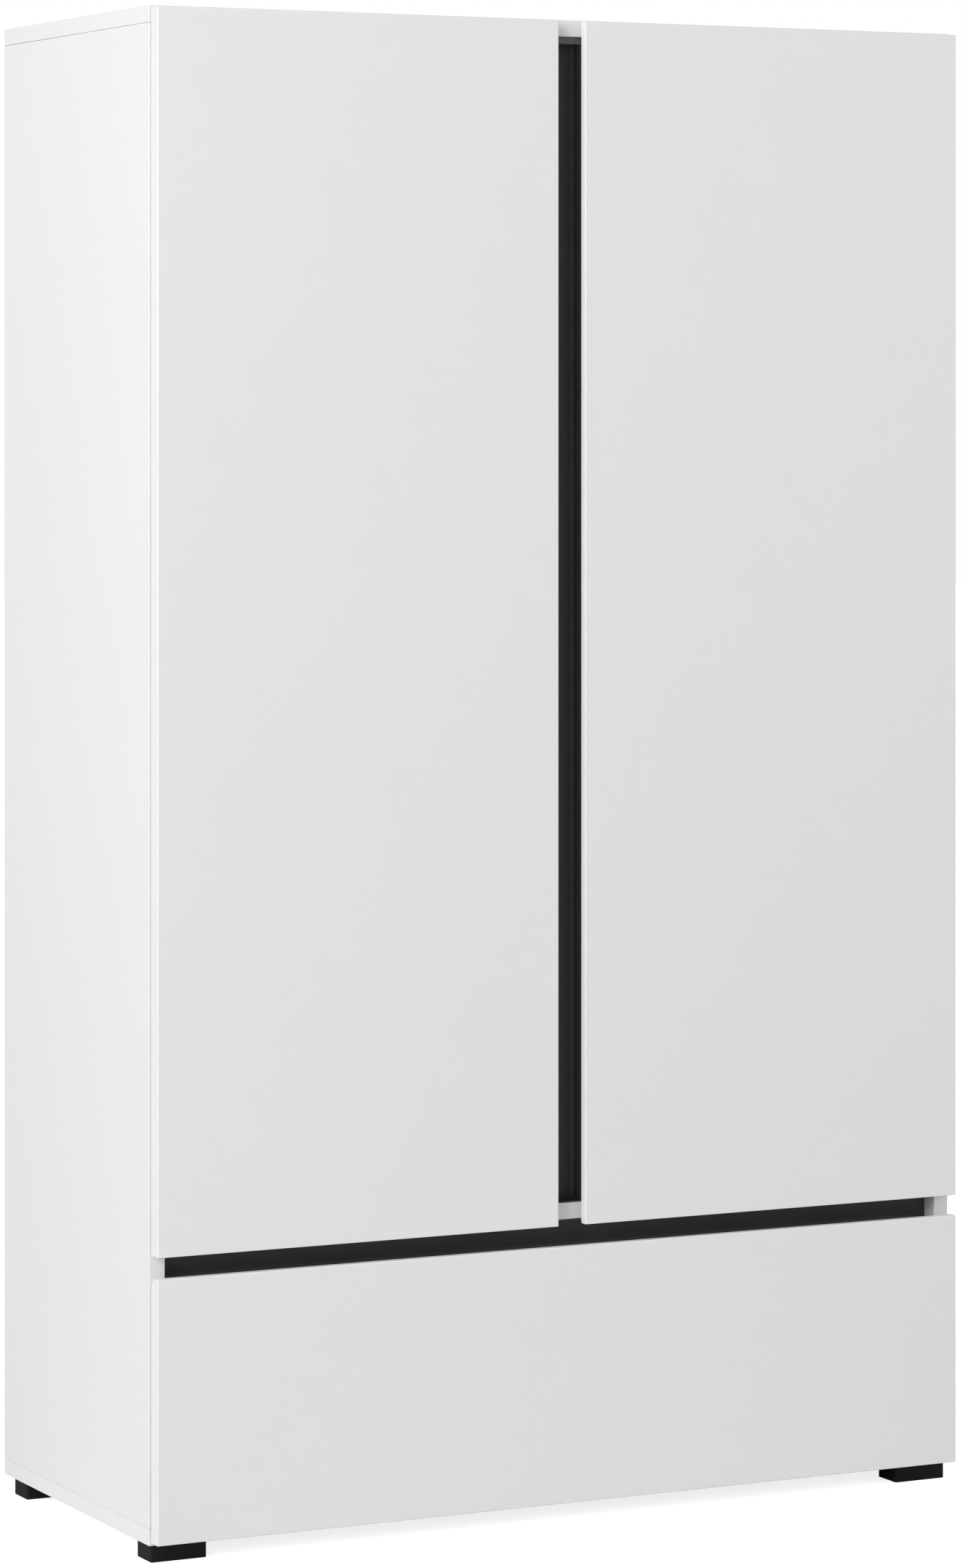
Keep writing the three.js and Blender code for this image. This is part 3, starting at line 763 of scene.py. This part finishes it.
def shelf_pins():
    panel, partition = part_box("side_panel_left")[1].x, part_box("centre_partition")[0].x
    places = []
    for row in SHELF_ROWS:
        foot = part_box(f"shelf_left_{row}")[0].z - PIN_HOLE["radius"]
        for y in pin_rows():
            places += [((panel, y, foot), RIGHT), ((partition, y, foot), LEFT)]
    set_out("shelf_pins", shelf_pin("shelf_pin"), places, "carcass", "steel")


def cam_covers():
    """Caps on the cams that draw the carcass together, and on those of the drawer front."""
    front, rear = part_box("side_panel_left")[0].y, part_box("back_sheet_left")[0].y
    rows = [front + CAM_ROW, (front + rear) / 2, rear - CAM_ROW]
    floor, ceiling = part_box("bottom_panel")[1].z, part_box("top_panel")[0].z
    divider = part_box("divider_shelf")
    heights = (floor + CAM_FROM_END, ceiling - CAM_FROM_END)
    places = []
    for sign in SIDES.values():
        inner = sign * abs(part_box("side_panel_left")[1].x)
        for y in rows:
            places += [((inner, y, z), RIGHT * -sign) for z in heights]
            places.append(((inner - sign * CAM_FROM_END, y, divider[0].z), DOWN))
    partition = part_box("centre_partition")
    for y in rows[1:]:
        for z in (partition[0].z + CAM_FROM_END, partition[1].z - CAM_FROM_END):
            places.append(((partition[1].x, y, z), RIGHT))
    low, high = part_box("hat_shelf")
    for y in (low.y + CAM_ROW, high.y - CAM_ROW):
        places += [((x, y, low.z), DOWN) for x in (low.x + CAM_FROM_END, high.x - CAM_FROM_END)]
    set_out("cam_cover_caps", cover_cap("cover_cap", CAM_COVER), places, "carcass")
    places = []
    for side, sign in SIDES.items():
        low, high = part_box(f"drawer_side_{side}")
        inner = high.x if sign < 0 else low.x
        y = low.y + DRAWER_CAMS["behind_front"]
        places += [((inner, y, low.z + z), RIGHT * -sign) for z in DRAWER_CAMS["heights"]]
    set_out("drawer_cam_covers", cover_cap("cover_cap", CAM_COVER), places, "drawer")


def buffers():
    """Soft dots on the carcass edges, behind the doors' free edges and the drawer front's corners."""
    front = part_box("top_panel")[0].y
    places = []
    for sign in SIDES.values():
        for node in ("top_panel", "divider_shelf"):
            low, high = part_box(node)
            places.append(((sign * BUFFERS["beside_middle"], front, (low.z + high.z) / 2), FORWARD))
        low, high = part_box("side_panel_right")
        upper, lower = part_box("drawer_front")[1].z, low.z
        for z in (upper - BUFFERS["from_corner"], lower + BUFFERS["from_corner"]):
            places.append(((sign * (low.x + high.x) / 2, front, z), FORWARD))
    set_out("closing_buffers", buffer_dot("buffer_dot"), places, "carcass")


def back_nails():
    """Nails through the back sheets into the divider shelf."""
    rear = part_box("back_sheet_right")[1].y
    z = sum(corner.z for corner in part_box("divider_shelf")) / 2
    places = []
    for sign in SIDES.values():
        for step in range(NAILS["count"]):
            places.append(((sign * (NAILS["first"] + NAILS["step"] * step) * MM, rear, z), BACK))
    nail = dressed(rounded(disc("nail", 2.2 * MM, 0.5 * MM, 16), 0.2 * MM, 2), BRIGHT_SCREW)
    set_out("back_sheet_nails", nail, places, "carcass", "steel")


def underside_screws():
    """Screws through the bottom panel into the side panels, seen from below."""
    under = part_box("bottom_panel")[0].z
    x = sum(corner.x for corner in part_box("side_panel_right")) / 2
    places = []
    for sign in SIDES.values():
        places += [((sign * x, y, under), DOWN) for y in UNDERSIDE_SCREWS]
    set_out("underside_screws", screw_head("confirmat"), places, "carcass", "steel")


# ---- Hinges ----
def hinge_cup():
    """A drawn cup with two ears. Along +Z it leaves the door, and +X points to the door's hinged edge."""
    foot_edge = lambda edge: is_sharp(edge) and middle(edge).z < MM
    sides, half, reach = CUP["sides"], CUP["ear_half"], CUP["ear_reach"]
    shell = disc("cup_shell", CUP["outer"], CUP["depth"] + CUP["rim"], sides)
    rounded(shell, 1.5 * MM, 3, foot_edge)
    moved(shell, Matrix.Translation((0, 0, -CUP["depth"])))
    ears = block("cup_ears", (-half, -reach, CUP["seat"]), (half, reach, CUP["rim"]))
    rounded(ears, half - 0.1 * MM, 8, lambda edge: is_sharp(edge) and runs_along(edge, 2))
    flange = disc("cup_flange", CUP["flange"], CUP["rim"] - CUP["seat"], sides)
    plate = combined(ears, moved(flange, Matrix.Translation((0, 0, CUP["seat"]))), "UNION")
    rounded(plate, 0.3 * MM, 2, lambda edge: is_sharp(edge) and middle(edge).z > CUP["rim"] - 0.1 * MM)
    cup = combined(plate, shell, "UNION")
    hollow = rounded(disc("cup_hollow", CUP["outer"] - CUP["wall"], 20 * MM, sides), 1.5 * MM, 3, foot_edge)
    combined(cup, moved(hollow, Matrix.Translation((0, 0, CUP["wall"] - CUP["depth"]))))
    return dressed(combined(cup, block("cup_notch", *CUP_NOTCH)), NICKEL)


def hinge_place(sign, point):
    """Stands a left or right hinge part: its +X to the hinged edge, its +Y up, its +Z to the back."""
    place = Matrix(((sign, 0, 0), (0, 0, 1), (0, 1, 0))).to_4x4()
    place.translation = point
    return place


def hinges():
    cup = hinge_cup()
    ear_head, wing_head, adjuster = screw_head("ear"), screw_head("wing"), screw_head("adjuster")
    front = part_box("side_panel_left")[0].y
    door_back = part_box("door_left")[1].y
    for side, sign in SIDES.items():
        heads, arm_heads = [], []
        for row in HINGE_ROWS:
            x, z = cup_centre(side, row)
            piece = copied(cup, f"hinge_cup_{side}_{row}_pressed", hinge_place(sign, (x, door_back, z)))
            handed_over(piece, f"{side}_door", f"hinge_cup_{side}_{row}", slot="steel")
            for step in (-1, 1):
                point = (x, door_back + CUP["rim"], z + step * CUP["screw_from_middle"])
                heads.append(copied(ear_head, "ear_screw", turned_to(BACK, point, 0.4 * row + step)))
            low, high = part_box(f"hinge_arm_{side}_{row}")
            outer, inward = (low.x if sign < 0 else high.x), RIGHT * -sign
            for step in (-1, 1):
                depth, rise = PLATE_SCREWS["behind_front"], PLATE_SCREWS["from_middle"]
                point = (outer - sign * PLATE_SCREWS["in"], front + depth, z + step * rise)
                arm_heads.append(copied(wing_head, "wing_screw", turned_to(inward, point, row + step)))
            for depth in ARM_SCREWS["behind_front"]:
                point = (outer - sign * ARM_SCREWS["in"], front + depth, z)
                arm_heads.append(copied(adjuster, "adjuster", turned_to(inward, point, row + depth)))
        handed_over(joined(f"hinge_cup_screws_{side}", heads), f"{side}_door", slot="steel")
        handed_over(joined(f"hinge_plate_screws_{side}", arm_heads), "carcass", slot="steel")
    discard(cup, ear_head, wing_head, adjuster)


# ---- Hanging rail and wall brackets ----
def oval_bar(name, low, high, radius):
    bar = block(name, low, high)
    return rounded(bar, radius, RAIL["steps"], lambda edge: is_sharp(edge) and runs_along(edge, 0))


def hanging_rail():
    low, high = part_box("hanging_rail")
    rail = oval_bar("hanging_rail_tube", low, high, RAIL["radius"])
    with editing(rail):
        choose(rail, "faces", lambda face: abs(face.normal.x) > 0.9)
        bpy.ops.mesh.delete(type="FACE")
    modify(rail, "SOLIDIFY", thickness=RAIL["wall"], offset=-1, use_even_offset=True)
    handed_over(dressed(rail, ALUMINIUM), "carcass", "hanging_rail", slot="rail")
    places = []
    thick, rise, radius = (RAIL_SOCKET[key] for key in ("plate", "rise", "radius"))
    margin = Vector((-MM, RAIL_SOCKET["wall"], RAIL_SOCKET["wall"]))
    for side, inward in (("left", 1), ("right", -1)):
        node = f"rail_flange_{side}"
        low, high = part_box(node)
        ring = oval_bar(f"{node}_socket", low, high, radius)
        hole = oval_bar("socket_hole", low + margin, high - margin, RAIL_SOCKET["hole"])
        xs = (low.x, low.x + thick) if inward > 0 else (high.x - thick, high.x)
        corners = (xs[0], low.y, low.z - rise), (xs[1], high.y, high.z + rise)
        plate = oval_bar("socket_plate", *corners, radius)
        socket = combined(combined(ring, plate, "UNION"), hole)
        rounded(socket, 0.35 * MM, 2)
        handed_over(dressed(socket, NICKEL), "carcass", node, slot="steel")
        face, y = xs[1] if inward > 0 else xs[0], (low.y + high.y) / 2
        places += [((face, y, z), RIGHT * inward) for z in (low.z - 4 * MM, high.z + 4 * MM)]
    set_out("rail_socket_screws", screw_head("socket"), places, "carcass", "steel")


def wall_brackets():
    up_places, wall_places = [], []
    for side in SIDES:
        node = f"wall_bracket_{side}"
        low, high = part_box(node)
        angle = block(f"{node}_angle", low, high)
        with editing(angle):
            choose(angle, "faces", lambda face: not (looks(UP)(face) or looks(BACK)(face)))
            bpy.ops.mesh.delete(type="FACE")
        rounded(angle, 3 * MM, 5)
        modify(angle, "SOLIDIFY", thickness=BRACKET_WALL, offset=-1, use_even_offset=True)
        leg_corner = lambda edge: is_sharp(edge) and (
            (abs(middle(edge).z - low.z) < MM or abs(middle(edge).y - low.y) < MM)
            and not runs_along(edge, 0)
            and (edge.verts[0].co - edge.verts[1].co).length < 3 * MM
        )
        rounded(angle, 5 * MM, 5, leg_corner)
        rounded(angle, 0.3 * MM, 2)
        handed_over(dressed(angle, ZINC), "carcass", node, slot="steel")
        x = (low.x + high.x) / 2
        y, z = (low.y + high.y) / 2 - 3 * MM, (low.z + high.z) / 2 - 3 * MM
        up_places += [((x + step * 11 * MM, y, high.z - BRACKET_WALL), DOWN) for step in (-1, 1)]
        wall_places.append(((x, high.y - BRACKET_WALL, z), FORWARD))
    set_out("bracket_screws", screw_head("bracket"), up_places, "carcass", "steel")
    set_out("wall_screws", screw_head("wall"), wall_places, "carcass", "steel")


# ---- Drawer runners ----
def runners():
    for side, sign in SIDES.items():
        inward = RIGHT * -sign
        for kind, body, opening in (
            ("cabinet", "carcass", inward),
            ("middle", f"{side}_runner_middle", inward),
            ("drawer", "drawer", -inward),
        ):
            node = f"runner_{kind}_member_{side}"
            low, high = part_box(node)
            rail = trough(f"{node}_rolled", low, high, opening, BACK, RUNNER, ZINC)
            handed_over(rail, body, node, slot="steel")
        ball_rows(side)
        for kind, out, name, body in (
            ("cabinet", sign, f"runner_screws_{side}", "carcass"),
            ("drawer", -sign, f"runner_drawer_screws_{side}", "drawer"),
        ):
            low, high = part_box(f"runner_{kind}_member_{side}")
            web = (low.x if out < 0 else high.x) - out * RUNNER["wall"]
            z = (low.z + high.z) / 2
            places = [((web, low.y + y * MM, z), RIGHT * -out) for y in RUNNER_SCREWS[kind]]
            set_out(name, screw_head("runner"), places, body, "steel")


def ball_rows(side):
    """Balls in a pressed cage above and below the middle member, between it and the cabinet member."""
    low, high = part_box(f"runner_middle_member_{side}")
    x = (low.x + high.x) / 2
    half = Vector((CAGE["half_width"], 0, CAGE["half_thickness"]))
    parts = []
    for z in (low.z - BALLS["out"], high.z + BALLS["out"]):
        front, rear = Vector((x, low.y + CAGE["from"], z)), Vector((x, low.y + CAGE["to"], z))
        strip = block("ball_cage", front - half, rear + half)
        parts.append(dressed(rounded(strip, 0.12 * MM, 2), DARK_STEEL))
        for step in range(BALLS["count"]):
            bpy.ops.object.select_all(action="DESELECT")
            bpy.ops.mesh.primitive_ico_sphere_add(subdivisions=2, radius=BALLS["radius"])
            ball = dressed(named("ball"), BRIGHT_SCREW)
            y = low.y + (BALLS["first"] + BALLS["step"] * step) * MM
            parts.append(moved(ball, Matrix.Translation((x, y, z))))
    handed_over(joined(f"runner_balls_{side}", parts), f"{side}_runner_middle", slot="steel")


def drawer_screws():
    """Screws from the drawer's sides into its back."""
    places = []
    for side, sign in SIDES.items():
        low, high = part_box(f"drawer_side_{side}")
        outer = low.x if sign < 0 else high.x
        y = high.y - DRAWER_SCREWS["from_rear"]
        places += [((outer, y, low.z + z * MM), RIGHT * sign) for z in DRAWER_SCREWS["heights"]]
    set_out("drawer_back_screws", screw_head("drawer"), places, "drawer", "steel")


# ---- Small shapes taken over from the frame, with softened edges ----
def softened(node, name, radius, material, body, slot):
    """A piece of the frame's own shape: its loose triangles are merged and its edges rounded."""
    obj = bpy.data.objects.new(name, bpy.data.objects[node].data.copy())
    bpy.context.collection.objects.link(obj)
    with editing(obj, "VERT"):
        bpy.ops.mesh.customdata_custom_splitnormals_clear()
        bpy.ops.mesh.select_all(action="SELECT")
        bpy.ops.mesh.remove_doubles(threshold=0.001 * MM)
        bpy.ops.mesh.dissolve_limited(angle_limit=math.radians(1))
    modify(obj, "BEVEL", width=radius, segments=2, limit_method="ANGLE", angle_limit=FIRM_EDGE)
    handed_over(dressed(obj, material), body, node, slot=slot)


def hinge_levers():
    for side in SIDES:
        for row in HINGE_ROWS:
            link, arm = f"hinge_link_{side}_{row}", f"hinge_arm_{side}_{row}"
            softened(link, f"{link}_bent", 0.2 * MM, NICKEL, f"{side}_hinge_links", "steel")
            softened(arm, f"{arm}_pressed", 0.5 * MM, NICKEL, "carcass", "steel")


def joint_strip():
    node = "back_joint_strip"
    softened(node, f"{node}_extrusion", 0.25 * MM, WHITE_PLASTIC, "carcass", "back_sheet")


# ---- Floor, light and camera ----
ROOM_LIGHT = 0.3
FLOOR_GLOW, FAR_GLOW = 0.8, 0.2  # seen by the camera only, so that the floor runs into the white room
GLOW_FROM, GLOW_OVER = 1.2, 4  # metres: where the floor starts to brighten, and over what length
CAMERA = {  # left and ahead are counted in heights of the fronts; degrees, millimetres and metres
    "left": 1.32815, "ahead": 3.12547, "height": 1.495, "turn": -26.57, "lens": 119.94, "shift": -0.2449,
}
LAMPS = {  # place, width and watts; all aimed a metre above the origin
    "left_lamp": ((-6.93, -4.0, 3.2), 4.4, 320),
    "high_left_lamp": ((-6.06, -3.5, 6.2), 4.4, 245),
    "high_front_lamp": ((0, -4.4, 4.2), 2.6, 15.6),
    "right_lamp": ((4.16, -2.4, 2.4), 2.6, 46.6),
}


def studio():
    """A pale floor and soft lamps in a white room that is dimmer than it looks."""
    world = bpy.data.worlds.new("studio")
    bpy.context.scene.world = world
    world.use_nodes = True
    tree = world.node_tree
    seen = Wire(tree.nodes.new("ShaderNodeLightPath").outputs["Is Camera Ray"])
    connect(tree, ROOM_LIGHT + seen * (1 - ROOM_LIGHT), tree.nodes["Background"].inputs["Strength"])
    tree.nodes["Background"].inputs["Color"].default_value = grey(1)

    bpy.ops.object.select_all(action="DESELECT")
    bpy.ops.mesh.primitive_plane_add(size=60)
    f = Finish("pale_floor", Emission_Strength=1.0, Specular_IOR_Level=0.1)
    seen = f.node("ShaderNodeLightPath")
    away = f.node("ShaderNodeVectorMath", {"operation": "LENGTH"}, {0: f.place}, output="Value")
    glow = FLOOR_GLOW + ((away - GLOW_FROM) / GLOW_OVER).clamped() * FAR_GLOW
    connect(f.tree, seen * glow, f.shader.inputs["Emission Color"])
    dust = f.noise(3 * MM, 3)
    floor = dressed(named("studio_floor"), f.paint(f.mix(dust, grey(0.75), grey(0.79)), 0.85))
    for name, (place, size, power) in LAMPS.items():
        bpy.ops.object.light_add(type="AREA", location=place)
        lamp = bpy.context.object
        lamp.name = lamp.data.name = name
        lamp.data.shape, lamp.data.size, lamp.data.energy = "DISK", size, power
        lamp.rotation_euler = (UP - lamp.location).to_track_quat("-Z", "Y").to_euler()


def camera():
    """Stands ahead of the wardrobe and to its left."""
    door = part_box("door_left")[0]
    front_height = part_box("door_left")[1].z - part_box("drawer_front")[0].z
    bpy.ops.object.camera_add(rotation=(math.radians(90), 0, math.radians(CAMERA["turn"])))
    cam = bpy.context.object
    cam.name = "studio_camera"
    x, y = door.x - CAMERA["left"] * front_height, door.y - CAMERA["ahead"] * front_height
    cam.location = (x, y, CAMERA["height"])
    cam.data.lens, cam.data.shift_y = CAMERA["lens"], CAMERA["shift"]
    cam.data.clip_end = 100
    bpy.context.scene.camera = cam


bpy.context.scene.view_settings.view_transform = "Standard"
carcass()
shelves()
back()
doors()
drawer_front()
drawer_box()
channels()
feet()
shelf_pins()
cam_covers()
buffers()
back_nails()
underside_screws()
hinges()
hanging_rail()
wall_brackets()
runners()
drawer_screws()
hinge_levers()
joint_strip()
studio()
camera()
